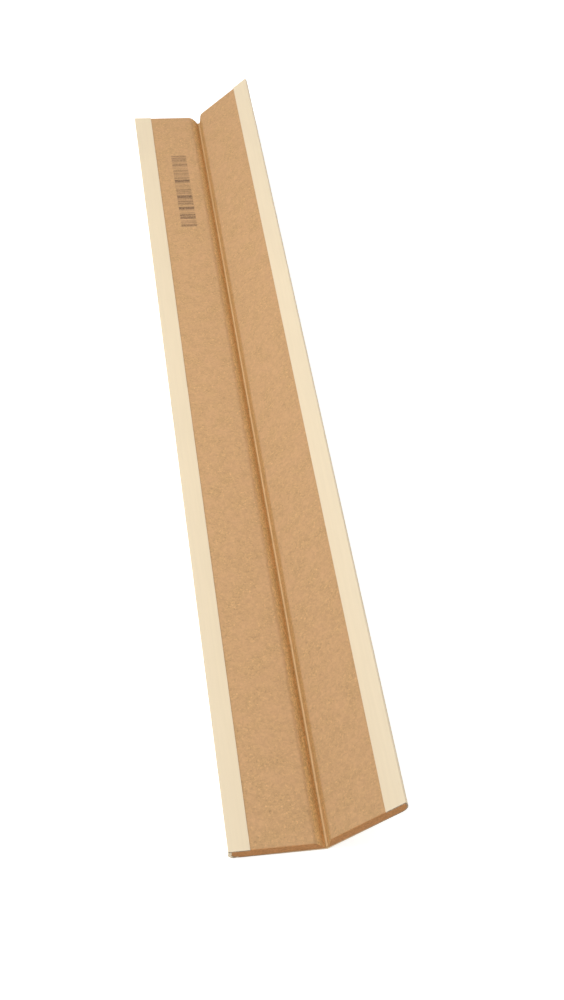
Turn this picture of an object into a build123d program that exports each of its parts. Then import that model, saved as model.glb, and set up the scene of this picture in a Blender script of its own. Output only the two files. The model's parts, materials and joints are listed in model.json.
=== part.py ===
from build123d import *
from math import radians, tan
import os

# Folding corner trim: two MDF flaps wrapped in one decor foil, which is also their hinge.
#
# The strip lies as it rests on a floor, groove side up. The left flap is flat on the floor,
# and the right flap is folded up about the crease in the foil. The crease runs along Y. The
# origin is under the crease, on the floor, halfway along the strip.
#
# Both flaps have the same kind of section. It is drawn flat, to the left of the crease, and
# extruded along Y. The right flap is then mirrored, and turned about the crease by the fold.
# A flap's long edge is a quarter round on the decor side, and square where the foil turns
# back over the MDF.

# Driving dimensions, in millimetres and degrees.
STRIP_LENGTH = 300.0
LEFT_FLAP_WIDTH = 24.0
RIGHT_FLAP_WIDTH = 25.0
BOARD_THICKNESS = 2.8
FOIL_THICKNESS = 0.2
FOLD_ANGLE = 42.0
GROOVE_ANGLE = 90.0
GROOVE_FLOOR = 0.8
LEFT_RETURN = 5.6
RIGHT_RETURN = 5.7
CREASE_CLEARANCE = 0.1

# Heights above the floor, for a flap that lies flat.
BOARD_TOP = FOIL_THICKNESS + BOARD_THICKNESS
RETURN_TOP = BOARD_TOP + FOIL_THICKNESS

# The foil bends about a line in the middle of its thickness.
CREASE_HEIGHT = FOIL_THICKNESS / 2
CREASE_RADIUS = FOIL_THICKNESS / 2

# Distance of the board's groove side from the crease, and how far it leans back.
BOARD_FOOT = GROOVE_FLOOR / 2
BEVEL_RUN = BOARD_THICKNESS * tan(radians(GROOVE_ANGLE / 2))

# Radius of the quarter round, on the board and on the foil round it.
BOARD_ROUND = BOARD_THICKNESS
FOIL_ROUND = BOARD_ROUND + FOIL_THICKNESS


def board_outline(width: float, foot: float, shoulder: float) -> Face:
    """A board's section, from its long edge to the foot of its groove side, at the foil, and
    to the shoulder, at the top."""
    round_start = width - FOIL_ROUND
    long_edge = width - FOIL_THICKNESS
    with BuildSketch(Plane.XZ) as sketch:
        with BuildLine():
            CenterArc((-round_start, BOARD_TOP), BOARD_ROUND, start_angle=180, arc_size=90)
            Polyline(
                (-round_start, FOIL_THICKNESS),
                (-foot, FOIL_THICKNESS),
                (-shoulder, BOARD_TOP),
                (-long_edge, BOARD_TOP),
            )
        make_face()
    return sketch.sketch


def foil_outline(width: float, return_width: float) -> Face:
    """A flap's share of the foil: under the board, round its long edge, and back over its top
    by the width of the return. It ends square at the crease."""
    round_start = width - FOIL_ROUND
    long_edge = width - FOIL_THICKNESS
    return_edge = width - return_width
    with BuildSketch(Plane.XZ) as sketch:
        with BuildLine():
            CenterArc((-round_start, BOARD_TOP), FOIL_ROUND, start_angle=180, arc_size=90)
            CenterArc((-long_edge, BOARD_TOP), FOIL_THICKNESS, start_angle=90, arc_size=90)
            Polyline((-long_edge, RETURN_TOP), (0, RETURN_TOP), (0, 0), (-round_start, 0))
        make_face()
        add(board_outline(width, foot=0, shoulder=0), mode=Mode.SUBTRACT)
        with Locations((-return_edge / 2, (BOARD_TOP + RETURN_TOP) / 2)):
            Rectangle(return_edge, FOIL_THICKNESS, mode=Mode.SUBTRACT)
    return sketch.sketch


def crease_disc(radius: float) -> Face:
    """A round section about the line that the foil bends on."""
    with BuildSketch(Plane.XZ) as sketch:
        with Locations((0, CREASE_HEIGHT)):
            Circle(radius)
    return sketch.sketch


def along_strip(section: Face) -> Part:
    """The section extruded to both ends of the strip."""
    return extrude(section, amount=STRIP_LENGTH / 2, both=True)


def to_right_flap(shape: Part) -> Part:
    """A left flap's shape, mirrored across the crease and folded up about it."""
    crease = Axis(origin=(0, 0, CREASE_HEIGHT), direction=(0, -1, 0))
    return mirror(shape, about=Plane.YZ).rotate(crease, FOLD_ANGLE)


def flap_board(width: float) -> Part:
    """The MDF of one flap. Its groove side is cut back at half the groove's angle."""
    return along_strip(board_outline(width, foot=BOARD_FOOT, shoulder=BOARD_FOOT + BEVEL_RUN))


def left_foil() -> Part:
    """The left flap's foil, with the round bend of the crease on its end."""
    section = foil_outline(LEFT_FLAP_WIDTH, LEFT_RETURN)
    return along_strip(section + crease_disc(CREASE_RADIUS))


def right_foil() -> Part:
    """The right flap's foil, hollowed at its end to turn round the bend of the crease."""
    section = foil_outline(RIGHT_FLAP_WIDTH, RIGHT_RETURN)
    return along_strip(section - crease_disc(CREASE_RADIUS + CREASE_CLEARANCE))


NODES = {
    "mdf_flap_left": flap_board(LEFT_FLAP_WIDTH),
    "mdf_flap_right": to_right_flap(flap_board(RIGHT_FLAP_WIDTH)),
    "foil_wrap_left": left_foil(),
    "foil_wrap_right": to_right_flap(right_foil()),
}

os.makedirs("parts", exist_ok=True)
for name, shape in NODES.items():
    export_step(shape, f"parts/{name}.step")
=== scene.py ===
import json
from math import cos, pi, radians, sin, tan

import bmesh
import bpy
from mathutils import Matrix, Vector


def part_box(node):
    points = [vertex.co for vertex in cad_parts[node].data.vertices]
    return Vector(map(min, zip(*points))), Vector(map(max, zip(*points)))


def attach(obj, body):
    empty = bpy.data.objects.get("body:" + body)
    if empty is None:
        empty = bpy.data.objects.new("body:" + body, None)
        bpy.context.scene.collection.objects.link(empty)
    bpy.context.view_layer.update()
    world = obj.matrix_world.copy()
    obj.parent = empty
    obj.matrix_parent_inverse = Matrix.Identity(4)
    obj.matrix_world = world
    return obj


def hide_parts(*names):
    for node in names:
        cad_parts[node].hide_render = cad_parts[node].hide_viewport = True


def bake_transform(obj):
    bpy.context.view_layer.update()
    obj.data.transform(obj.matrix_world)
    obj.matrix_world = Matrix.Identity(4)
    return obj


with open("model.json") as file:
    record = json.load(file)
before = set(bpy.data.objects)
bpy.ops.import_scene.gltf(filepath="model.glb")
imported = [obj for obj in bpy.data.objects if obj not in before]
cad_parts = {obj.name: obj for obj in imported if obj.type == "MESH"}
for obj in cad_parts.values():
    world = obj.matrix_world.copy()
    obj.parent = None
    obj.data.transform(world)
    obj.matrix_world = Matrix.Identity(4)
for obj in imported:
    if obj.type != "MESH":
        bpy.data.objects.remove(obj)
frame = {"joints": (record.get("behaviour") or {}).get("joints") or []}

bl_info = {
    "name": "Folding corner trim",
    "version": (1, 0, 0),
    "blender": (4, 5, 0),
    "location": "3D View > Sidebar > Corner Trim",
    "description": "Dresses a folding corner trim of foil-wrapped MDF, and sets a plain stage for it",
    "category": "Object",
}

MM = 0.001
# How close two places are taken as the same, and how close two points are merged.
NEAR = 0.02 * MM
MERGE = 0.002 * MM
# Faces that meet at less than this are shaded as one.
SMOOTH = radians(32)
# How many faces go round a quarter round, round the foil's turn over a board's back corner, and
# round its bend at the crease. The quarter rounds of board and foil lie on each other.
ROUND_STEPS = 14
TURN_STEPS = 5
CREASE_STEPS = 8

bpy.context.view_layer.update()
BOARD_LOW, BOARD_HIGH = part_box("mdf_flap_left")
WRAP_LOW, WRAP_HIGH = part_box("foil_wrap_left")
CREASE = Vector(frame["joints"][0]["pos_m"])


def linear(colour):
    """An sRGB hex colour as the linear values that Blender works with."""
    steps = [int(colour[i : i + 2], 16) / 255 for i in (1, 3, 5)]
    return tuple(s / 12.92 if s <= 0.04045 else ((s + 0.055) / 1.055) ** 2.4 for s in steps) + (1.0,)


class TrimSizes(bpy.types.PropertyGroup):
    """The sizes of the strip. Those of the boards and the wrap come from the frame."""

    half_length: bpy.props.FloatProperty(
        name="Half length", description="From the middle of the strip to an end",
        default=BOARD_HIGH.y, unit="LENGTH",
    )
    left_width: bpy.props.FloatProperty(
        name="Left width", description="From the crease to the left flap's long edge",
        default=-WRAP_LOW.x, unit="LENGTH",
    )
    right_width: bpy.props.FloatProperty(
        name="Right width", description="From the crease to the right flap's long edge",
        default=25.0 * MM, unit="LENGTH",
    )
    foil: bpy.props.FloatProperty(
        name="Foil thickness", description="Thickness of the decor foil",
        default=BOARD_LOW.z, unit="LENGTH",
    )
    board_top: bpy.props.FloatProperty(
        name="Board top", description="Height of the flat flap's MDF face",
        default=BOARD_HIGH.z, unit="LENGTH",
    )
    groove_foot: bpy.props.FloatProperty(
        name="Groove foot", description="From the crease to the MDF at the bottom of the groove",
        default=-BOARD_HIGH.x, unit="LENGTH",
    )
    fold: bpy.props.FloatProperty(
        name="Fold", description="How far the right flap is folded up",
        default=-radians(frame["joints"][0]["range_deg"][0]), subtype="ANGLE",
    )
    left_return: bpy.props.FloatProperty(
        name="Left return", description="Width of the foil turned over the left flap",
        default=5.6 * MM, unit="LENGTH",
    )
    skew: bpy.props.FloatProperty(
        name="Skew", description="How far the left return's free edge is out of line",
        default=radians(0.14), subtype="ANGLE",
    )
    right_return: bpy.props.FloatProperty(
        name="Right return", description="Width of the foil turned over the right flap",
        default=5.7 * MM, unit="LENGTH",
    )
    bend: bpy.props.FloatProperty(
        name="Bend", description="How far from the crease the foil starts to bend",
        default=0.3 * MM, unit="LENGTH",
    )
    left_arris: bpy.props.FloatProperty(
        name="Left arris", description="How much is worn off where the groove meets the left face",
        default=0.45 * MM, unit="LENGTH",
    )
    right_arris: bpy.props.FloatProperty(
        name="Right arris", description="How much is worn off where the groove meets the right face",
        default=0.2 * MM, unit="LENGTH",
    )
    pulled: bpy.props.FloatProperty(
        name="Pulled", description="How far the saw pulled the foil past the boards' ends",
        default=0.04 * MM, unit="LENGTH",
    )
    burr: bpy.props.FloatProperty(
        name="Burr", description="Thickness of the foil where it tore and curled, at the near end",
        default=0.9 * MM, unit="LENGTH",
    )

    @property
    def board_end(self):
        """From the middle of the strip to a board's end, which the foil reaches past."""
        return self.half_length - self.pulled

    @property
    def shoulder(self):
        """From the crease to where the groove's side meets a flap's face."""
        return self.groove_foot + self.board_top - self.foil


class TrimColours(bpy.types.PropertyGroup):
    """The colours of the strip's finishes."""

    mdf_face: bpy.props.FloatVectorProperty(
        name="MDF face", description="Sanded face of the board",
        size=4, subtype="COLOR", default=linear("#C89F72"),
    )
    mdf_groove: bpy.props.FloatVectorProperty(
        name="MDF groove", description="Sides of the groove, as the cutter left them",
        size=4, subtype="COLOR", default=linear("#CBA36C"),
    )
    mdf_sawn: bpy.props.FloatVectorProperty(
        name="MDF sawn", description="Sawn ends, browner and rougher than the rest",
        size=4, subtype="COLOR", default=linear("#BA8350"),
    )
    foil_face: bpy.props.FloatVectorProperty(
        name="Foil face", description="Decor side of the foil",
        size=4, subtype="COLOR", default=linear("#E9D7B7"),
    )
    foil_back: bpy.props.FloatVectorProperty(
        name="Foil back", description="Glued side of the foil, bare at the bottom of the groove",
        size=4, subtype="COLOR", default=linear("#DDBA86"),
    )
    # The foil edge's grey tan is partly dust and partly painted shade on the thin cut edges.
    foil_edge: bpy.props.FloatVectorProperty(
        name="Foil edge", description="Foil where the saw cut it, with MDF dust in it",
        size=4, subtype="COLOR", default=linear("#95836A"),
    )
    ink: bpy.props.FloatVectorProperty(
        name="Ink", description="Print on the left flap, soaked into the MDF",
        size=4, subtype="COLOR", default=linear("#5E4A3C"),
    )


# Materials


def add_node(tree, kind, inputs=None, **settings):
    """Adds a shader node with its settings, and with a value or a link on each socket named."""
    added = tree.nodes.new("ShaderNode" + kind)
    for name, value in settings.items():
        setattr(added, name, value)
    for socket, value in (inputs or {}).items():
        if isinstance(value, bpy.types.NodeSocket):
            tree.links.new(value, added.inputs[socket])
        else:
            added.inputs[socket].default_value = value
    return added


def new_material(name):
    """An empty material: itself, its node tree, and Object coordinates in it."""
    material = bpy.data.materials.new(name)
    material.use_nodes = True
    tree = material.node_tree
    tree.nodes.clear()
    return material, tree, add_node(tree, "TexCoord").outputs["Object"]


def tint(colour, amount):
    """A colour made darker or lighter, as a share of itself."""
    return tuple(min(1.0, c * amount) for c in colour[:3]) + (1.0,)


def fibres(tree, place, shift, length):
    """Short curled fibres, as thin broken lines about a fifth of a length wide."""
    moved = add_node(tree, "Mapping", {"Vector": place, "Location": (shift,) * 3}).outputs["Vector"]
    curl = add_node(tree, "TexNoise", {
        "Vector": moved, "Scale": 1 / length, "Detail": 1.0, "Distortion": 1.2,
    }).outputs["Fac"]
    off = add_node(tree, "Math", {0: curl, 1: 0.5}, operation="SUBTRACT").outputs[0]
    off = add_node(tree, "Math", {0: off}, operation="ABSOLUTE").outputs[0]
    line = add_node(tree, "MapRange", {
        "Value": off, "From Max": 0.07, "To Min": 1.0, "To Max": 0.0,
    }, interpolation_type="SMOOTHSTEP").outputs["Result"]
    broken = add_node(tree, "TexNoise", {
        "Vector": moved, "Scale": 1.3 / length, "Detail": 1.0,
    }).outputs["Fac"]
    broken = add_node(tree, "MapRange", {
        "Value": broken, "From Min": 0.48, "From Max": 0.6,
    }, interpolation_type="SMOOTHSTEP").outputs["Result"]
    return add_node(tree, "Math", {0: line, 1: broken}, operation="MULTIPLY").outputs[0]


def ragged_finish(tree, attribute, felt):
    """Where a blade has been, from the attribute that marks it, with a ragged border."""
    bladed = add_node(tree, "Attribute", attribute_name=attribute).outputs["Fac"]
    ragged = add_node(tree, "Math", {
        0: felt, 1: 0.8, 2: bladed,
    }, operation="MULTIPLY_ADD").outputs[0]
    return add_node(tree, "MapRange", {
        "Value": ragged, "From Min": 0.55, "From Max": 1.2,
    }, interpolation_type="SMOOTHSTEP").outputs["Result"]


def felt_colour(tree, colours, felt, specks, finishes):
    """The tans of the board: its sanded face, and over that each blade's finish, given as where
    it is, its colour, and its darkest and lightest shares of that colour. A blade leaves crumbs,
    so its finish is mottled more finely than the sanded face."""
    light_dark = add_node(tree, "MapRange", {
        "Value": felt, "From Min": 0.3, "From Max": 0.7,
    }, interpolation_type="SMOOTHSTEP").outputs["Result"]
    colour = add_node(tree, "Mix", {
        0: light_dark, 6: tint(colours.mdf_face, 0.92), 7: tint(colours.mdf_face, 1.06),
    }, data_type="RGBA").outputs[2]
    crumbs = add_node(tree, "Math", {0: specks, 1: felt}, operation="ADD").outputs[0]
    crumbs = add_node(tree, "MapRange", {
        "Value": crumbs, "From Min": 0.75, "From Max": 1.25,
    }, interpolation_type="SMOOTHSTEP").outputs["Result"]
    for bladed, shade, darkest, lightest in finishes:
        cut = add_node(tree, "Mix", {
            0: crumbs, 6: tint(shade, darkest), 7: tint(shade, lightest),
        }, data_type="RGBA").outputs[2]
        colour = add_node(tree, "Mix", {0: bladed, 6: colour, 7: cut}, data_type="RGBA").outputs[2]
    return colour


def scatter_marks(tree, colour, bed, specks, patches):
    """Lays fibres and specks over a colour, light ones and dark ones. They gather in some patches
    and are scarce in others."""
    crowd = add_node(tree, "MapRange", {
        "Value": patches, "From Min": 0.38, "From Max": 0.62, "To Min": 0.25,
    }).outputs["Result"]
    dark_specks = add_node(tree, "MapRange", {
        "Value": specks, "From Min": 0.68, "From Max": 0.76,
    }, interpolation_type="SMOOTHSTEP").outputs["Result"]
    light_flecks = add_node(tree, "MapRange", {
        "Value": specks, "From Min": 0.34, "From Max": 0.25,
    }, interpolation_type="SMOOTHSTEP").outputs["Result"]
    for marks, strength, amount in (
        (fibres(tree, bed, 0.0, 1.2 * MM), 0.6, 1.22),
        (light_flecks, 0.8, 1.26),
        (fibres(tree, bed, 0.31, 1.1 * MM), 0.5, 0.76),
        (dark_specks, 0.6, 0.7),
    ):
        share = add_node(tree, "Math", {0: marks, 1: strength}, operation="MULTIPLY").outputs[0]
        share = add_node(tree, "Math", {0: share, 1: crowd}, operation="MULTIPLY").outputs[0]
        marked = add_node(tree, "VectorMath", {
            0: colour, 1: (amount,) * 3,
        }, operation="MULTIPLY").outputs[0]
        colour = add_node(tree, "Mix", {0: share, 6: colour, 7: marked}, data_type="RGBA").outputs[2]
    return colour


def mdf_material(name, colours, tilt, painted_groove_light, printed):
    """Sanded MDF: wood fibre pressed flat with resin, belt sanded, then sawn and grooved. The
    eye sees a matte tan felt in soft patches of a few millimetres, with short curled fibres and
    specks, some light, some dark. The groove's sides are yellower, and the sawn ends browner.
    The fibres are drawn about 0.25 mm wide, as coarse as they need to be to show. The attributes
    "planed" and "sawn" are 1 where the cutter or the saw has been."""
    material, tree, place = new_material(name)
    flat = add_node(tree, "Mapping", {"Vector": place, "Rotation": (0, tilt, 0)}).outputs["Vector"]
    # Fibres lie in the board's plane, so across its thickness they are thinner.
    bed = add_node(tree, "Mapping", {"Vector": flat, "Scale": (1, 1, 3)}).outputs["Vector"]

    patches = add_node(tree, "TexNoise", {
        "Vector": bed, "Scale": 1 / (5 * MM), "Detail": 3.0, "Roughness": 0.6,
    }).outputs["Fac"]
    felt = add_node(tree, "TexNoise", {
        "Vector": bed, "Scale": 1 / (1.1 * MM), "Detail": 3.0, "Roughness": 0.6, "Distortion": 1.0,
    }).outputs["Fac"]
    specks = add_node(tree, "TexNoise", {
        "Vector": bed, "Scale": 1 / (0.5 * MM), "Detail": 0.0, "Distortion": 0.8,
    }).outputs["Fac"]

    planed, sawn = (ragged_finish(tree, mark, felt) for mark in ("planed", "sawn"))
    # The groove's colour is made lighter by a share given for each board. This is painted light,
    # standing for the light that falls on each groove side.
    colour = felt_colour(tree, colours, felt, specks, (
        (planed, tint(colours.mdf_groove, painted_groove_light), 0.74, 1.22),
        (sawn, colours.mdf_sawn, 0.8, 1.18),
    ))
    colour = scatter_marks(tree, colour, bed, specks, patches)
    # The patches drift from a lighter and pinker tan to a darker and yellower one.
    drift = add_node(tree, "MapRange", {
        "Value": patches, "From Min": 0.3, "From Max": 0.7,
    }).outputs["Result"]
    shade = add_node(tree, "Mix", {
        0: drift, 4: (1.05, 1.03, 1.06), 5: (0.96, 0.97, 0.93),
    }, data_type="VECTOR").outputs[1]
    colour = add_node(tree, "VectorMath", {0: colour, 1: shade}, operation="MULTIPLY").outputs[0]

    if printed:
        colour = print_bars(tree, place, colour, colours)

    fuzz = add_node(tree, "TexNoise", {
        "Vector": bed, "Scale": 1 / (0.3 * MM), "Detail": 2.0,
    }).outputs["Fac"]
    height = add_node(tree, "Math", {0: fuzz, 1: 0.5, 2: felt}, operation="MULTIPLY_ADD").outputs[0]
    either = add_node(tree, "Math", {0: planed, 1: sawn}, operation="MAXIMUM").outputs[0]
    raised = add_node(tree, "Math", {0: either, 1: 1.2, 2: 0.5}, operation="MULTIPLY_ADD").outputs[0]
    height = add_node(tree, "Math", {0: height, 1: raised}, operation="MULTIPLY").outputs[0]
    bump = add_node(tree, "Bump", {"Height": height, "Strength": 0.4, "Distance": 0.03 * MM})
    surface = add_node(tree, "BsdfPrincipled", {
        "Base Color": colour, "Roughness": 0.88, "IOR": 1.4, "Normal": bump.outputs["Normal"],
    })
    add_node(tree, "OutputMaterial", {"Surface": surface.outputs["BSDF"]})
    return material


def print_bars(tree, place, colour, colours):
    """A block of inkjet bars across the left flap, 41.5 by 5.6 mm. They are made up, of uneven
    width and strength, and stand for nothing. The ink has soaked in, so fibres break it up."""
    across, along = (-12.8 * MM, -7.2 * MM), (85 * MM, 126.5 * MM)
    pitch, soft_edge = 0.42 * MM, 0.25 * MM
    part = add_node(tree, "SeparateXYZ", {"Vector": place}).outputs
    # A new bar or gap may start at each step of the pitch.
    step = add_node(tree, "Math", {0: part["Y"], 1: 1 / pitch}, operation="MULTIPLY").outputs[0]
    step = add_node(tree, "Math", {0: step}, operation="FLOOR").outputs[0]
    chance = add_node(tree, "TexWhiteNoise", {"W": step}, noise_dimensions="1D").outputs["Value"]
    group = add_node(tree, "TexNoise", {
        "W": step, "Scale": 0.16, "Detail": 1.0,
    }, noise_dimensions="1D").outputs["Fac"]
    group = add_node(tree, "MapRange", {
        "Value": group, "From Min": 0.35, "From Max": 0.62, "To Min": 0.3, "To Max": 0.85,
    }).outputs["Result"]
    bar = add_node(tree, "MapRange", {
        "Value": chance, "From Min": 0.35, "From Max": 0.6, "To Min": 0.25,
    }).outputs["Result"]
    ink = add_node(tree, "Math", {0: bar, 1: group}, operation="MULTIPLY").outputs[0]
    for axis, (low, high) in (("X", across), ("Y", along)):
        for edge, inside in ((low, low + soft_edge), (high, high - soft_edge)):
            fade = add_node(tree, "MapRange", {
                "Value": part[axis], "From Min": edge, "From Max": inside,
            }).outputs["Result"]
            ink = add_node(tree, "Math", {0: ink, 1: fade}, operation="MULTIPLY").outputs[0]
    soaked = add_node(tree, "TexNoise", {
        "Vector": place, "Scale": 1 / (0.6 * MM), "Detail": 2.0,
    }).outputs["Fac"]
    soaked = add_node(tree, "MapRange", {
        "Value": soaked, "From Min": 0.3, "From Max": 0.6, "To Min": 0.45,
    }).outputs["Result"]
    ink = add_node(tree, "Math", {0: ink, 1: soaked}, operation="MULTIPLY").outputs[0]
    return add_node(tree, "Mix", {0: ink, 6: colour, 7: colours.ink}, data_type="RGBA").outputs[2]


def foil_face_material(colours):
    """PVC decor foil, calendered and finely embossed: an even cream with a soft satin sheen,
    a faint drift in its tone, and a fine eggshell grain of about 0.35 mm."""
    material, tree, place = new_material("pvc_decor_foil")
    drift = add_node(tree, "TexNoise", {
        "Vector": place, "Scale": 1 / (30 * MM), "Detail": 2.0,
    }).outputs["Fac"]
    grain = add_node(tree, "TexNoise", {
        "Vector": place, "Scale": 1 / (0.35 * MM), "Detail": 1.0,
    }).outputs["Fac"]
    # Rolled along the strip, so its streaks are long and narrow.
    rolled = add_node(tree, "Mapping", {"Vector": place, "Scale": (1, 0.04, 1)}).outputs["Vector"]
    streak = add_node(tree, "TexNoise", {
        "Vector": rolled, "Scale": 1 / (0.8 * MM), "Detail": 2.0,
    }).outputs["Fac"]
    colour = add_node(tree, "Mix", {
        0: drift, 6: tint(colours.foil_face, 0.965), 7: tint(colours.foil_face, 1.035),
    }, data_type="RGBA").outputs[2]
    tone = add_node(tree, "MapRange", {
        "Value": streak, "From Min": 0.3, "From Max": 0.7, "To Min": 0.985, "To Max": 1.015,
    }).outputs["Result"]
    colour = add_node(tree, "VectorMath", {0: colour, 1: tone}, operation="MULTIPLY").outputs[0]
    gloss = add_node(tree, "MapRange", {
        "Value": grain, "From Min": 0.3, "From Max": 0.7, "To Min": 0.44, "To Max": 0.54,
    }).outputs["Result"]
    bump = add_node(tree, "Bump", {"Height": grain, "Strength": 0.35, "Distance": 0.01 * MM})
    surface = add_node(tree, "BsdfPrincipled", {
        "Base Color": colour, "Roughness": gloss, "IOR": 1.48, "Normal": bump.outputs["Normal"],
    })
    add_node(tree, "OutputMaterial", {"Surface": surface.outputs["BSDF"]})
    return material


def foil_back_material(colours):
    """The foil's back at the bottom of the groove: dried glue on it, patchy along the line, with
    shreds of MDF that the blade left. It reads as a thin light line."""
    material, tree, place = new_material("glued_foil_back")
    patches = add_node(tree, "TexNoise", {
        "Vector": place, "Scale": 1 / (4 * MM), "Detail": 3.0, "Roughness": 0.65,
    }).outputs["Fac"]
    patches = add_node(tree, "MapRange", {
        "Value": patches, "From Min": 0.5, "From Max": 0.7, "To Max": 0.5,
    }, interpolation_type="SMOOTHSTEP").outputs["Result"]
    # Towards the printed end the blade cut less deep, and left more MDF on the foil.
    along = add_node(tree, "SeparateXYZ", {"Vector": place}).outputs["Y"]
    skin = add_node(tree, "MapRange", {
        "Value": along, "From Min": 30 * MM, "From Max": 120 * MM, "To Max": 0.6,
    }, interpolation_type="SMOOTHSTEP").outputs["Result"]
    patches = add_node(tree, "Math", {0: patches, 1: skin}, operation="MAXIMUM").outputs[0]
    colour = add_node(tree, "Mix", {
        0: patches, 6: colours.foil_back, 7: colours.mdf_groove,
    }, data_type="RGBA").outputs[2]
    grit = add_node(tree, "TexNoise", {
        "Vector": place, "Scale": 1 / (0.3 * MM), "Detail": 2.0,
    }).outputs["Fac"]
    # Away from the crease, towards the feet of the boards, the back is darkened to a deeper tan of
    # the groove's colour, and half a millimetre along the crease stays light.
    aside = add_node(tree, "VectorMath", {
        0: place, 1: (1, 0, 1), 2: (0, 0, -BOARD_LOW.z),
    }, operation="MULTIPLY_ADD").outputs[0]
    aside = add_node(tree, "VectorMath", {0: aside}, operation="LENGTH").outputs["Value"]
    aside = add_node(tree, "Math", {
        0: grit, 1: 0.12 * MM, 2: aside,
    }, operation="MULTIPLY_ADD").outputs[0]
    darkened_aside = add_node(tree, "MapRange", {
        "Value": aside, "From Min": 0.24 * MM, "From Max": 0.36 * MM,
    }, interpolation_type="SMOOTHSTEP").outputs["Result"]
    colour = add_node(tree, "Mix", {
        0: darkened_aside, 6: colour, 7: tint(colours.mdf_groove, 0.8),
    }, data_type="RGBA").outputs[2]
    bump = add_node(tree, "Bump", {"Height": grit, "Strength": 0.4, "Distance": 0.02 * MM})
    surface = add_node(tree, "BsdfPrincipled", {
        "Base Color": colour, "Roughness": 0.6, "IOR": 1.48, "Normal": bump.outputs["Normal"],
    })
    add_node(tree, "OutputMaterial", {"Surface": surface.outputs["BSDF"]})
    return material


def foil_edge_material(colours):
    """Foil where it was cut, by the saw at the ends and by a knife along the free edges. Glue and
    dust stick to it, and painted shade darkens it further, so it is a grey tan with cream flecks,
    and it draws a thin dull line beside the MDF. The attribute "torn" is 1 where it tore instead,
    and is clean."""
    material, tree, place = new_material("cut_foil_edge")
    flecks = add_node(tree, "TexNoise", {
        "Vector": place, "Scale": 1 / (0.5 * MM), "Detail": 2.0, "Roughness": 0.7,
    }).outputs["Fac"]
    flecks = add_node(tree, "MapRange", {
        "Value": flecks, "From Min": 0.5, "From Max": 0.66, "To Max": 0.75,
    }, interpolation_type="SMOOTHSTEP").outputs["Result"]
    torn = add_node(tree, "Attribute", attribute_name="torn").outputs["Fac"]
    clean = add_node(tree, "Math", {0: flecks, 1: torn}, operation="MAXIMUM").outputs[0]
    colour = add_node(tree, "Mix", {
        0: clean, 6: colours.foil_edge, 7: colours.foil_face,
    }, data_type="RGBA").outputs[2]
    surface = add_node(tree, "BsdfPrincipled", {
        "Base Color": colour, "Roughness": 0.7, "IOR": 1.48,
    })
    add_node(tree, "OutputMaterial", {"Surface": surface.outputs["BSDF"]})
    return material


# Modelling


def nothing_selected():
    """Leaves edit mode, and deselects every object."""
    if bpy.context.object and bpy.context.object.mode != "OBJECT":
        bpy.ops.object.mode_set(mode="OBJECT")
    bpy.ops.object.select_all(action="DESELECT")


def edit(piece):
    """Enters edit mode on a piece, with nothing else selected."""
    nothing_selected()
    piece.select_set(True)
    bpy.context.view_layer.objects.active = piece
    bpy.ops.object.mode_set(mode="EDIT")


def pick(kind, choose):
    """In edit mode, selects the elements of that kind that are chosen, and no others."""
    mesh = bpy.context.edit_object.data
    bpy.ops.mesh.select_mode(type=kind)
    bpy.ops.mesh.select_all(action="DESELECT")
    shape = bmesh.from_edit_mesh(mesh)
    found = choose(shape)
    if not found:
        raise RuntimeError("nothing is where it was expected")
    for element in found:
        element.select_set(True)
    bmesh.update_edit_mesh(mesh)


def pick_edges(wanted):
    """Selects the edges whose two ends are as wanted."""
    pick("EDGE", lambda shape: [e for e in shape.edges if wanted(*(v.co for v in e.verts))])


def pick_points(wanted):
    """Selects the vertices whose place is as wanted."""
    pick("VERT", lambda shape: [v for v in shape.verts if wanted(v.co)])


def near(a, b):
    """Whether two distances are the same."""
    return abs(a - b) < NEAR


def lengthwise(a, b):
    """Whether an edge runs along the strip."""
    return near(a.x, b.x) and near(a.z, b.z) and not near(a.y, b.y)


def cut_along(*counts):
    """Divides every lengthwise edge, and so the faces between them, by each count in turn,
    because one cut can't make more than 101 rows."""
    for count in counts:
        pick_edges(lengthwise)
        bpy.ops.mesh.subdivide(number_cuts=count - 1)


def on_right(sizes, across, height):
    """The point on the right flap that is so far from the crease and so high on the flap."""
    up = height - CREASE.z
    return Vector((
        across * cos(sizes.fold) - up * sin(sizes.fold), 0,
        CREASE.z + across * sin(sizes.fold) + up * cos(sizes.fold),
    ))


def finish_piece(piece, name):
    """Names a piece, merges its doubles, turns its faces outward and smooths it."""
    piece.name = piece.data.name = name
    edit(piece)
    bpy.ops.mesh.select_all(action="SELECT")
    bpy.ops.mesh.remove_doubles(threshold=MERGE)
    bpy.ops.mesh.normals_make_consistent(inside=False)
    bpy.ops.object.mode_set(mode="OBJECT")
    bpy.ops.object.shade_smooth_by_angle(angle=SMOOTH)


def rough_up(piece, group, size, depth, middle):
    """Pushes the surface in and out by clouds of that size, where the vertex group is."""
    clouds = bpy.data.textures.new(group + "_clouds", "CLOUDS")
    clouds.noise_scale = size
    clouds.noise_depth = 2
    bpy.context.view_layer.objects.active = piece
    bpy.ops.object.modifier_add(type="DISPLACE")
    rough = piece.modifiers[-1]
    rough.texture = clouds
    rough.texture_coords = "LOCAL"
    rough.vertex_group = group
    rough.strength = depth
    rough.mid_level = middle
    bpy.ops.object.modifier_apply(modifier=rough.name)


def gather(piece, group, share):
    """A vertex group whose weight at each place is what share gives for it."""
    members = piece.vertex_groups.new(name=group)
    for vertex in piece.data.vertices:
        weight = share(vertex.co)
        if weight > 0:
            members.add([vertex.index], weight, "REPLACE")


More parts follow.
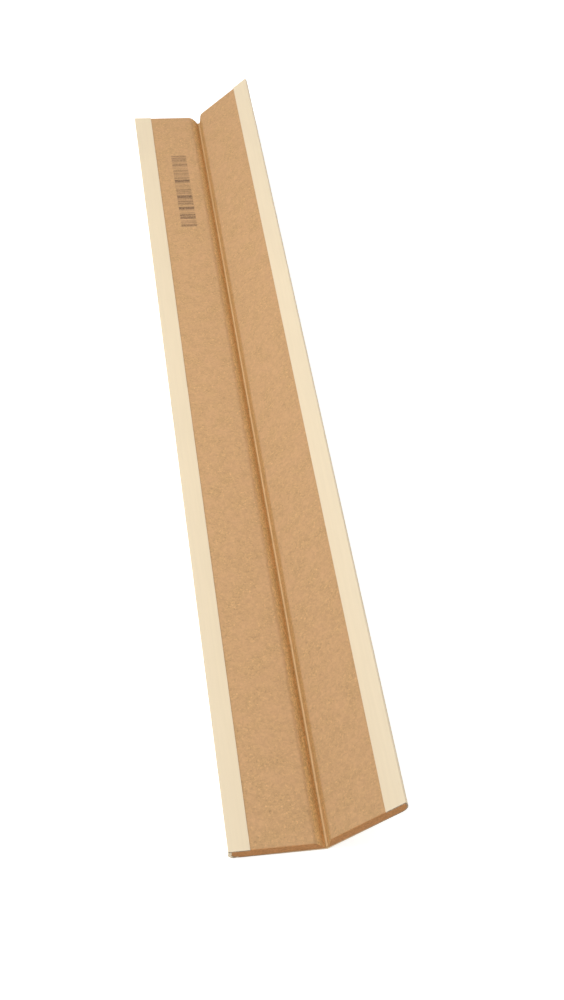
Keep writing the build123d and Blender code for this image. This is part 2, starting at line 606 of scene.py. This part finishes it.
def flat_board(sizes, width, arris):
    """A board, drawn flat and to the left of the crease: a block whose long edge is a quarter
    round below, and whose groove side is cut back. Its rows are half a millimetre apart."""
    low = Vector((sizes.foil - width, -sizes.board_end, sizes.foil))
    high = Vector((0, sizes.board_end, sizes.board_top))
    nothing_selected()
    bpy.ops.mesh.primitive_cube_add(size=1, location=(low + high) / 2, scale=high - low)
    board = bpy.context.object
    bpy.ops.object.transform_apply(location=True, rotation=True, scale=True)
    bpy.ops.object.mode_set(mode="EDIT")
    pick_edges(lambda a, b: lengthwise(a, b) and near(a.x, low.x) and near(a.z, low.z))
    bpy.ops.mesh.bevel(offset=high.z - low.z - NEAR / 2, segments=ROUND_STEPS, affect="EDGES")
    bpy.ops.mesh.select_all(action="SELECT")
    bpy.ops.mesh.remove_doubles(threshold=NEAR)
    bpy.ops.mesh.bisect(
        plane_co=(-sizes.groove_foot, 0, sizes.foil), plane_no=(1, 0, 1),
        use_fill=True, clear_outer=True,
    )
    shoulder = -sizes.shoulder
    pick_edges(lambda a, b: lengthwise(a, b) and near(a.x, shoulder) and near(a.z, high.z))
    bpy.ops.mesh.bevel(offset=arris, segments=4, affect="EDGES")

    # Lines along the groove side, and three beside it on the face, for their relief. The edge
    # up the groove side is the only long one there that isn't level.
    long_rise = 2 * MM
    pick_edges(lambda a, b: near(a.y, b.y) and abs(a.z - b.z) > long_rise and a.x > shoulder - MM)
    bpy.ops.mesh.subdivide(number_cuts=8)
    for aside in (0.7 * MM, 2 * MM, 8 * MM):
        bpy.ops.mesh.select_all(action="SELECT")
        bpy.ops.mesh.bisect(plane_co=(shoulder - aside, 0, 0), plane_no=(1, 0, 0))
    cut_along(25, 24)
    # The saw has broken the ends' edges by a tenth of a millimetre.
    pick_edges(lambda a, b: near(abs(a.y), high.y) and near(a.y, b.y))
    bpy.ops.mesh.bevel(offset=0.1 * MM, segments=1, affect="EDGES")
    bpy.ops.object.mode_set(mode="OBJECT")
    return board


def crown_groove_side(board, sizes):
    """Makes the groove side slightly convex, so that it turns down softly from the face."""
    crown, band, reach = 0.1 * MM, 0.5 * MM, 1.3 * MM
    middle = (sizes.foil + sizes.board_top) / 2
    edit(board)
    pick_points(lambda p: abs(p.z - middle) < band and p.x > -sizes.shoulder)
    bpy.ops.transform.translate(
        value=(crown, 0, crown), use_proportional_edit=True,
        proportional_edit_falloff="SMOOTH", proportional_size=reach,
    )
    bpy.ops.object.mode_set(mode="OBJECT")


def dress_board(board, sizes, blend):
    """Marks where the cutter and the saw have been, and where the board is to be roughened. The
    cutter's finish sets in over the width of the blend, down from the shoulder."""
    end, shoulder = sizes.board_end, -sizes.shoulder
    # How far planed the shoulder already is, and how far the saw's and the crumbling's marks go.
    already, saw_reach, crumble_reach = 0.15, 0.2 * MM, 0.8 * MM
    places = [v.co.copy() for v in board.data.vertices]
    marks = {
        "planed": [min(1.0, max(0.0, (p.x - shoulder) / blend + already)) for p in places],
        "sawn": [min(1.0, max(0.0, 1 - (end - abs(p.y)) / saw_reach)) for p in places],
    }
    for name, values in marks.items():
        mark = board.data.attributes.new(name, "FLOAT", "POINT")
        mark.data.foreach_set("value", values)
    gather(board, "groove_side", lambda p: (
        1.0 if shoulder + 0.1 * MM < p.x < -sizes.groove_foot - 0.2 * MM
        and p.z > sizes.foil + 0.1 * MM else 0.0
    ))
    gather(board, "crumbled_arris", lambda p: (
        max(0.0, 1 - abs(p.x - shoulder) / crumble_reach)
        if p.z > sizes.board_top - 0.5 * MM else 0.0
    ))


def fold_up(board, sizes):
    """Mirrors a board across the crease, and folds it up about it."""
    edit(board)
    bpy.ops.mesh.select_all(action="SELECT")
    bpy.ops.transform.resize(value=(-1, 1, 1), center_override=(0, 0, 0))
    bpy.ops.mesh.normals_make_consistent(inside=False)
    bpy.ops.transform.rotate(value=sizes.fold, orient_axis="Y", center_override=CREASE)
    bpy.ops.object.mode_set(mode="OBJECT")


def chip_bevel(board, place):
    """A shallow chip out of the groove's side, about 6 mm long, and a quarter as wide."""
    depth, radius = 0.12 * MM, 0.7 * MM
    squeeze = Vector((1, 1 / 4, 1))
    edit(board)
    pick_points(lambda p: ((p - place) * squeeze).length < radius)
    bpy.ops.transform.translate(value=(-depth, 0, -depth))
    bpy.ops.object.mode_set(mode="OBJECT")


class TRIM_OT_boards(bpy.types.Operator):
    """Make the two MDF flaps, with their groove sides, worn arrises and sawn ends"""

    bl_idname = "trim.boards"
    bl_label = "Flap Boards"

    def execute(self, context):
        sizes, colours = context.scene.trim_sizes, context.scene.trim_colours
        left = flat_board(sizes, sizes.left_width, sizes.left_arris)
        crown_groove_side(left, sizes)
        dress_board(left, sizes, blend=1.6 * MM)
        right = flat_board(sizes, sizes.right_width, sizes.right_arris)
        dress_board(right, sizes, blend=0.5 * MM)
        fold_up(right, sizes)

        for board in (left, right):
            rough_up(board, "groove_side", size=1.1 * MM, depth=0.12 * MM, middle=0.5)
            rough_up(board, "crumbled_arris", size=1.6 * MM, depth=0.3 * MM, middle=0.75)
        # Halfway up the groove's side, 30 mm from the near end.
        chip_bevel(left, Vector((-1.9 * MM, -120 * MM, 1.7 * MM)))

        # The last column is painted light: it lightens each flap's groove side, the left one much
        # more than the right.
        for board, name, body, node, tilt, painted_groove_light in (
            (left, "mdf_board_left", "left_flap", "mdf_flap_left", 0.0, 1.15),
            (right, "mdf_board_right", "right_flap", "mdf_flap_right", sizes.fold, 1.02),
        ):
            finish_piece(board, name)
            board.data.materials.append(
                mdf_material("sanded_" + name, colours, tilt, painted_groove_light, printed=board is left)
            )
            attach(board, body)
            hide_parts(node)
        return {"FINISHED"}


def turn_foil(angle, centre, steps):
    """Carries the selected edge of the foil round a centre, as one more bend, in so many steps."""
    bpy.ops.mesh.spin(steps=steps, angle=angle, center=centre, axis=(0, 1, 0))


def run_foil(way):
    """Carries the selected edge of the foil straight on."""
    bpy.ops.mesh.extrude_region_move(TRANSFORM_OT_translate={"value": way})


def torn_share(sizes, place):
    """How far the saw tore the foil where it should have cut it: at the near end, most at the
    left edge, and less at the crease and the right edge."""
    left_edge, crease, right_edge = 1.0, 0.55, 0.4
    if not near(place.y, -sizes.half_length):
        return 0.0
    if place.x < 1.1 * MM - sizes.left_width and place.z < sizes.board_top - 0.3 * MM:
        return left_edge
    if abs(place.x) < 0.5 * MM and place.z < 1.0 * MM:
        return crease
    if place.x > on_right(sizes, sizes.right_width - 0.9 * MM, 0).x and place.z > 15 * MM:
        return right_edge
    return 0.0


def foil_thickness(sizes, place):
    """The foil's thickness: even but at the ends, where the saw swelled it, and more where it
    tore. Sawdust is packed under it where it is pulled off the board's lower left corner."""
    swelled, packed = 1.7 * sizes.foil, 3 * sizes.foil
    if not near(abs(place.y), sizes.half_length):
        return sizes.foil
    corner = place.y < 0 and place.x < 2.4 * MM - sizes.left_width and place.z < 0.9 * MM
    return max(packed if corner else swelled, sizes.burr * torn_share(sizes, place))


def curl_corner(sizes):
    """In edit mode, pulls the sheet off the board's lower left corner at the near end, and then
    presses it flat on the floor and at the side."""
    pull, reach, edge = 0.4 * MM, 1.1 * MM, -sizes.left_width
    pick_points(lambda p: (
        near(p.y, -sizes.half_length) and p.x < edge + 2.2 * MM and 0.4 * MM < p.z < 1.8 * MM
    ))
    bpy.ops.transform.translate(
        value=(-pull, 0, -pull), use_proportional_edit=True,
        proportional_edit_falloff="SMOOTH", proportional_size=reach,
    )
    pick_points(lambda p: p.z < 0)
    bpy.ops.transform.resize(value=(1, 1, 0), center_override=(0, 0, 0))
    pick_points(lambda p: p.x < edge)
    bpy.ops.transform.resize(value=(0, 1, 1), center_override=(edge, 0, 0))


def bent_sheet(sizes):
    """The foil's decor side, before it has a thickness: the left return, and from it the sheet
    round the left flap, up at the crease, and round the right flap. Its rows are 1 mm apart."""
    top = sizes.board_top + sizes.foil
    # Across each flap, from the crease: where the quarter round starts, and the board's edge.
    left_round = sizes.left_width - sizes.board_top
    left_back = sizes.left_width - sizes.foil
    right_round = sizes.right_width - sizes.board_top
    right_back = sizes.right_width - sizes.foil

    nothing_selected()
    width = sizes.left_return - sizes.foil
    bpy.ops.mesh.primitive_plane_add(size=1, location=(width / 2 - left_back, 0, top))
    foil = bpy.context.object
    foil.scale = (width, 2 * sizes.half_length, 1)
    bpy.ops.object.transform_apply(location=True, rotation=True, scale=True)
    bpy.ops.object.mode_set(mode="EDIT")
    free = sizes.left_return - sizes.left_width
    pick_edges(lambda a, b: lengthwise(a, b) and near(a.x, free))
    bpy.ops.transform.rotate(value=sizes.skew, orient_axis="Z", center_override=(free, 0, top))
    pick_edges(lambda a, b: lengthwise(a, b) and near(a.x, -left_back))
    turn_foil(pi / 2, (-left_back, 0, sizes.board_top), TURN_STEPS)
    turn_foil(pi / 2, (-left_round, 0, sizes.board_top), ROUND_STEPS)
    run_foil((left_round - sizes.bend, 0, 0))
    # The crease: an even bend whose legs meet where the two flaps' undersides do.
    leg = sizes.bend + CREASE.z * tan(sizes.fold / 2)
    turn_foil(sizes.fold, (-sizes.bend, 0, leg / tan(sizes.fold / 2)), CREASE_STEPS)
    run_foil(on_right(sizes, right_round, 0) - on_right(sizes, sizes.bend, 0))
    turn_foil(pi / 2, on_right(sizes, right_round, sizes.board_top), ROUND_STEPS)
    turn_foil(pi / 2, on_right(sizes, right_back, sizes.board_top), TURN_STEPS)
    right_free = sizes.right_width - sizes.right_return
    run_foil(on_right(sizes, right_free, 0) - on_right(sizes, right_back, 0))
    bpy.ops.mesh.select_all(action="SELECT")
    bpy.ops.mesh.remove_doubles(threshold=MERGE)
    cut_along(20, 15)
    bpy.ops.mesh.select_all(action="SELECT")
    bpy.ops.mesh.normals_make_consistent(inside=False)
    # A sheet has no inside, so the face on the floor says which way is out.
    shape = bmesh.from_edit_mesh(foil.data)
    under = [f for f in shape.faces if near(f.calc_center_median().z, 0)]
    if under[0].normal.z > 0:
        bpy.ops.mesh.flip_normals()
    curl_corner(sizes)
    bpy.ops.object.mode_set(mode="OBJECT")
    return foil


def thicken(foil, sizes):
    """Gives the sheet its thickness, inwards from the decor side. The vertex group holds it as a
    share of the thickest place. The new faces take the materials of the back and the edges."""
    gather(foil, "thickness", lambda p: foil_thickness(sizes, p) / sizes.burr)
    bpy.ops.object.modifier_add(type="SOLIDIFY")
    sheet = foil.modifiers[-1]
    sheet.thickness = sizes.burr
    sheet.vertex_group = "thickness"
    sheet.offset = -1
    sheet.use_even_offset = True
    sheet.material_offset = 1
    sheet.material_offset_rim = 2
    bpy.ops.object.modifier_apply(modifier=sheet.name)


def flatten_ends(foil, sizes):
    """Trims the curled foil flush with the strip's two ends."""
    curl = 0.7 * MM
    edit(foil)
    for end in (-sizes.half_length, sizes.half_length):
        pick_points(lambda p: abs(p.y - end) < curl)
        bpy.ops.transform.resize(value=(1, 0, 1), center_override=(0, end, 0))
    bpy.ops.object.mode_set(mode="OBJECT")


class TRIM_OT_foil(bpy.types.Operator):
    """Make the decor foil: one sheet, from the left return round both flaps to the right one"""

    bl_idname = "trim.foil"
    bl_label = "Decor Foil"

    def execute(self, context):
        sizes, colours = context.scene.trim_sizes, context.scene.trim_colours
        foil = bent_sheet(sizes)
        for make in (foil_face_material, foil_back_material, foil_edge_material):
            foil.data.materials.append(make(colours))
        thicken(foil, sizes)
        flatten_ends(foil, sizes)
        torn = foil.data.attributes.new("torn", "FLOAT", "POINT")
        torn.data.foreach_set("value", [
            min(1.0, 2 * torn_share(sizes, v.co)) for v in foil.data.vertices
        ])
        finish_piece(foil, "decor_foil")
        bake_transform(foil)
        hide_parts("foil_wrap_left", "foil_wrap_right")
        return {"FINISHED"}


# Stage


def white_to_the_eye(tree, seen, lit):
    """The first surface where the camera, a gloss or glass looks at it, and the second as light
    on the object."""
    path = add_node(tree, "LightPath").outputs
    looked = add_node(tree, "Math", {
        0: path["Is Camera Ray"], 1: path["Is Glossy Ray"],
    }, operation="MAXIMUM").outputs[0]
    looked = add_node(tree, "Math", {
        0: looked, 1: path["Is Transmission Ray"],
    }, operation="MAXIMUM").outputs[0]
    return add_node(tree, "MixShader", {0: looked, 1: lit, 2: seen}).outputs[0]


class TRIM_OT_stage(bpy.types.Operator):
    """Set the plain pale floor, the soft studio light and the camera"""

    bl_idname = "trim.stage"
    bl_label = "Stage"

    def execute(self, context):
        nothing_selected()
        bpy.ops.mesh.primitive_plane_add(size=6)
        floor = context.object
        floor.name = "studio_floor"
        material, tree, _ = new_material("white_studio_paper")
        paper = add_node(tree, "BsdfDiffuse", {"Color": linear("#E6E6E6")}).outputs[0]
        glow = add_node(tree, "Emission", {"Strength": 0.62}).outputs[0]
        bright = add_node(tree, "AddShader", {0: paper, 1: glow}).outputs[0]
        add_node(tree, "OutputMaterial", {"Surface": white_to_the_eye(tree, bright, paper)})
        floor.data.materials.append(material)

        world = bpy.data.worlds.new("studio")
        context.scene.world = world
        world.use_nodes = True
        tree = world.node_tree
        tree.nodes.clear()
        seen = add_node(tree, "Background", {"Color": (1, 1, 1, 1), "Strength": 1.0}).outputs[0]
        lit = add_node(tree, "Background", {"Color": (1, 1, 1, 1), "Strength": 0.36}).outputs[0]
        add_node(tree, "OutputWorld", {"Surface": white_to_the_eye(tree, seen, lit)})

        # Each softbox's place and size in metres, and its power in watts.
        for name, place, size, power in (
            ("key_softbox", (-0.26, 0.03, 0.38), 0.4, 1.57),
            ("fill_softbox", (0.6, 0.0, 0.8), 0.9, 1.8),
            ("front_softbox", (0.1, -0.9, 0.22), 0.6, 1.9),
        ):
            bpy.ops.object.light_add(type="AREA", location=place)
            lamp = context.object
            lamp.name = name
            lamp.rotation_euler = (-Vector(place)).to_track_quat("-Z", "Y").to_euler()
            lamp.data.size = size
            lamp.data.energy = power

        bpy.ops.object.camera_add(
            location=(-54.839 * MM, -307.537 * MM, 308.775 * MM),
            rotation=(radians(41.5487), radians(-3.9396), radians(-8.0745)),
        )
        camera = context.object
        camera.name = "photo_camera"
        camera.data.lens = 51.4046
        camera.data.sensor_width = 36
        camera.data.clip_start = 0.01
        context.scene.camera = camera
        context.scene.view_settings.view_transform = "Standard"
        return {"FINISHED"}


class TRIM_PT_panel(bpy.types.Panel):
    """Lists the steps that make the strip, and its sizes and colours"""

    bl_idname = "TRIM_PT_panel"
    bl_label = "Corner Trim"
    bl_space_type = "VIEW_3D"
    bl_region_type = "UI"
    bl_category = "Corner Trim"

    def draw(self, context):
        layout = self.layout
        for step in ("trim.boards", "trim.foil", "trim.stage"):
            layout.operator(step)
        for group in (context.scene.trim_sizes, context.scene.trim_colours):
            column = layout.column()
            for name in group.__annotations__:
                column.prop(group, name)


CLASSES = (TrimSizes, TrimColours, TRIM_OT_boards, TRIM_OT_foil, TRIM_OT_stage, TRIM_PT_panel)


def register():
    for kind in CLASSES:
        bpy.utils.register_class(kind)
    bpy.types.Scene.trim_sizes = bpy.props.PointerProperty(type=TrimSizes)
    bpy.types.Scene.trim_colours = bpy.props.PointerProperty(type=TrimColours)


def unregister():
    del bpy.types.Scene.trim_colours
    del bpy.types.Scene.trim_sizes
    for kind in reversed(CLASSES):
        bpy.utils.unregister_class(kind)


def main():
    register()
    bpy.ops.trim.boards()
    bpy.ops.trim.foil()
    bpy.ops.trim.stage()


if __name__ == "__main__":
    main()
